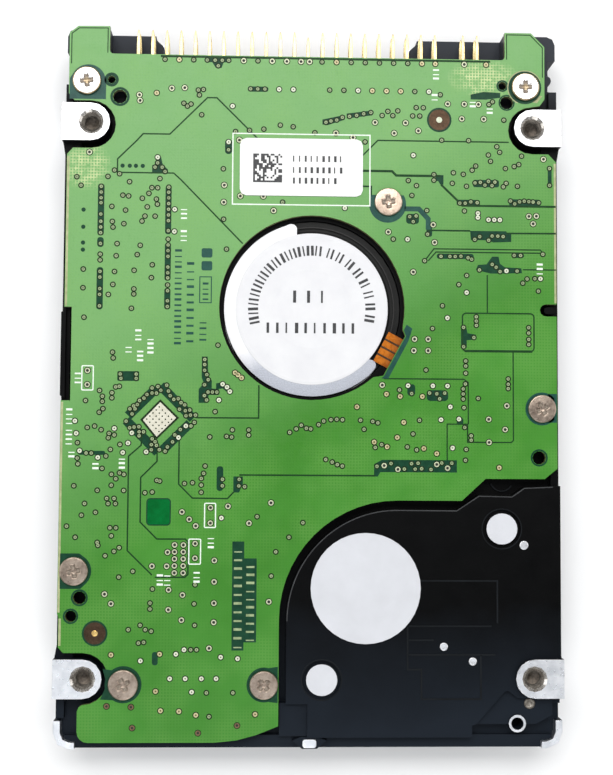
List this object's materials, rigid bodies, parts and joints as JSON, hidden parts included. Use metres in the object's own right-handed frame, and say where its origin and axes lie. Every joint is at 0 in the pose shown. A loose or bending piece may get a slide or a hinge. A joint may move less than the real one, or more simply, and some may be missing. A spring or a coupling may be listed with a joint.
{
  "type": "hard disk drive",
  "caption": "Laptop hard disk drive seen from its circuit board side, with pin connector, spindle motor, platter and swinging head arm inside a cast case.",
  "frame": {"origin": "centre of the drive's outline, on the outer face of the top cover, which it lies on", "axes": "+X across the drive, +Y towards the pin connector, +Z from the cover to the circuit board"},
  "size_m": [0.0698, 0.1002, 0.0095],
  "materials": {
    "black_coat": "satin black electro-coat on cast aluminium",
    "bare_aluminium": "satin, fine grain",
    "steel": "satin",
    "bright_screw": "bright plated",
    "bronze_screw": "warm nickel plate, circular tool marks",
    "board_green": "green solder mask, semi-gloss",
    "pin_gold": "gold flash",
    "black_plastic": "matt moulded",
    "white_label": "matt paper or film",
    "disk_mirror": "polished mirror",
    "copper_wire": "enamelled wire",
    "magnet": "nickel-plated magnet",
    "amber_film": "polyimide film with copper tracks",
    "ramp_plastic": "natural moulded plastic",
    "rubber": "matt",
    "filter_cloth": "soft felt",
    "ceramic": "ground ceramic"
  },
  "bodies": {
    "base": {"base_casting": "black_coat", "motor_flange": "black_coat", "top_cover": "bare_aluminium", "flex_bracket": "bare_aluminium", "cover_label": "white_label", "board_label": "white_label", "motor_seal": "white_label", "pivot_seal": "white_label", "access_seal_1": "white_label", "access_seal_2": "white_label", "cover_gasket": "rubber", "crash_stop": "rubber", "board_screw_1": "bright_screw", "board_screw_2": "bright_screw", "board_screw_3": "bronze_screw", "board_screw_4": "bronze_screw", "board_screw_5": "bronze_screw", "board_screw_6": "bronze_screw", "board_screw_7": "bronze_screw", "cover_screw_1": "steel", "cover_screw_2": "steel", "cover_screw_3": "steel", "cover_screw_4": "steel", "cover_screw_5": "steel", "cover_screw_6": "steel", "pivot_screw": "steel", "stator_core": "steel", "pivot_shaft": "steel", "yoke_upper": "steel", "yoke_lower": "steel", "circuit_board": "board_green", "controller_chip": "black_plastic", "buffer_memory_chip": "black_plastic", "connector_housing": "black_plastic", "flex_connector": "black_plastic", "connector_pins_upper": "pin_gold", "connector_pins_lower": "pin_gold", "stator_coils": "copper_wire", "bearing_sleeve": "copper_wire", "magnet_upper": "magnet", "magnet_lower": "magnet", "motor_lead": "amber_film", "flex_circuit": "amber_film", "load_ramp": "ramp_plastic", "recirculation_filter": "filter_cloth", "breather_filter": "filter_cloth"},
    "rotor": {"rotor_hub": "bare_aluminium", "rotor_magnet": "magnet", "spindle_shaft": "steel", "platter": "disk_mirror", "disk_clamp": "steel", "clamp_screw": "steel"},
    "head_arm": {"actuator_arm": "bare_aluminium", "voice_coil": "copper_wire", "pivot_bearing": "steel", "suspension_upper": "steel", "suspension_lower": "steel", "head_slider_upper": "ceramic", "head_slider_lower": "ceramic"},
    "latch": {"inertial_latch": "black_plastic"}
  },
  "joints": [
    {"name": "spindle_spin", "type": "hinge", "parent": "base", "child": "rotor", "pos_m": [0, 0.0104, 0.004], "axis": [0, 0, 1], "continuous": true},
    {"name": "head_arm_swing", "type": "hinge", "parent": "base", "child": "head_arm", "pos_m": [0.0076, -0.0283, 0.004], "axis": [0, 0, -1], "range_deg": [0, 36]},
    {"name": "latch_swing", "type": "hinge", "parent": "base", "child": "latch", "pos_m": [0.0286, -0.0269, 0.004], "axis": [0, 0, 1], "range_deg": [-8, 8]}
  ]
}
